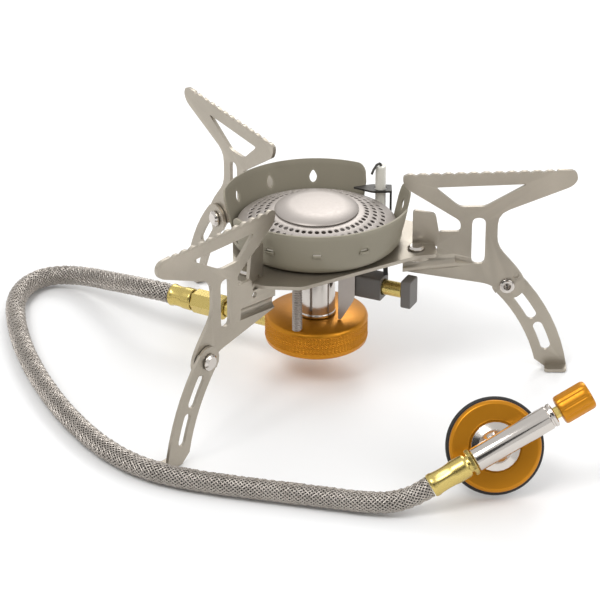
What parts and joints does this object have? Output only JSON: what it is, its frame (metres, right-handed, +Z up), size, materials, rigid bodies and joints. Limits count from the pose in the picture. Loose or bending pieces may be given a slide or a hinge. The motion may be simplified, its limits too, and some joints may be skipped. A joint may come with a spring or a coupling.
{
  "type": "canister stove",
  "caption": "Folding remote-canister camping stove with pivoting serrated pot supports, folding legs, piezo igniter and a braided gas hose to a screw-on valve.",
  "frame": {"origin": "centre of the stove's base on the ground, without the hose and valve", "axes": "+Z up, +X towards the arm beside the igniter"},
  "size_m": [0.224, 0.1986, 0.0846],
  "materials": {
    "steel": "satin pressed stainless steel",
    "polished": "polished",
    "screen_coat": "matt warm grey",
    "orange_anodised": "anodised orange",
    "brass": "turned brass",
    "braid": "braided wire",
    "black_rubber": "matt",
    "grey_plastic": "moulded",
    "ceramic": "glazed ceramic"
  },
  "bodies": {
    "burner_stand": {"base_plate": "steel", "pivot_rivet_right": "polished", "pivot_rivet_back": "polished", "pivot_rivet_front": "polished", "windscreen": "screen_coat", "burner_cup": "steel", "burner_head": "steel", "burner_cap": "steel", "mixing_tube": "polished", "gas_jet": "brass", "jet_housing": "orange_anodised", "support_stud": "steel", "inlet_pipe": "brass", "inlet_nut": "brass", "hose_ferrule_stove": "brass", "gas_hose": "braid", "hose_ferrule_valve": "brass", "hose_union_nut": "brass", "valve_body": "polished", "adaptor_disc": "orange_anodised", "rubber_pad": "black_rubber", "seal_ring": "black_rubber", "pin_depressor": "brass", "igniter_body": "grey_plastic", "igniter_bracket": "polished", "electrode_ceramic": "ceramic", "electrode_wire": "steel", "electrode_bracket": "steel", "ignition_lead": "black_rubber"},
    "arm_right": {"arm_right": "steel", "knee_rivet_right": "polished"},
    "leg_right": {"leg_right": "steel"},
    "arm_back": {"arm_back": "steel", "knee_rivet_back": "polished"},
    "leg_back": {"leg_back": "steel"},
    "arm_front": {"arm_front": "steel", "knee_rivet_front": "polished"},
    "leg_front": {"leg_front": "steel"},
    "igniter_press": {"igniter_button": "grey_plastic", "igniter_plunger": "brass"},
    "knob": {"valve_knob": "orange_anodised", "valve_spindle": "brass"}
  },
  "joints": [
    {"name": "arm_right_fold", "type": "hinge", "parent": "burner_stand", "child": "arm_right", "pos_m": [0.01788, -0.00881, 0.055], "axis": [0, 0, -1], "range_deg": [0, 90]},
    {"name": "leg_right_fold", "type": "hinge", "parent": "arm_right", "child": "leg_right", "pos_m": [0.05354, 0.00093, 0.0358], "axis": [0.0157, 0.9999, 0], "range_deg": [0, 100]},
    {"name": "arm_back_fold", "type": "hinge", "parent": "burner_stand", "child": "arm_back", "pos_m": [-0.03157, 0.03614, 0.055], "axis": [0, 0, -1], "range_deg": [0, 90]},
    {"name": "leg_back_fold", "type": "hinge", "parent": "arm_back", "child": "leg_back", "pos_m": [-0.05966, 0.06016, 0.0358], "axis": [-0.8358, -0.549, 0], "range_deg": [0, 100]},
    {"name": "arm_front_fold", "type": "hinge", "parent": "burner_stand", "child": "arm_front", "pos_m": [-0.04577, -0.02916, 0.055], "axis": [0, 0, -1], "range_deg": [0, 90]},
    {"name": "leg_front_fold", "type": "hinge", "parent": "arm_front", "child": "leg_front", "pos_m": [-0.05987, -0.06333, 0.0358], "axis": [0.7815, -0.6239, 0], "range_deg": [0, 100]},
    {"name": "igniter_push", "type": "slide", "parent": "burner_stand", "child": "igniter_press", "axis": [-0.9063, 0.4226, 0], "range_m": [0, 0.004], "stiffness_N_per_m": 400},
    {"name": "knob_turn", "type": "hinge", "parent": "burner_stand", "child": "knob", "pos_m": [0.06968, -0.09639, 0.03593], "axis": [0.8631, 0.227, 0.4511], "range_deg": [0, 720]}
  ]
}
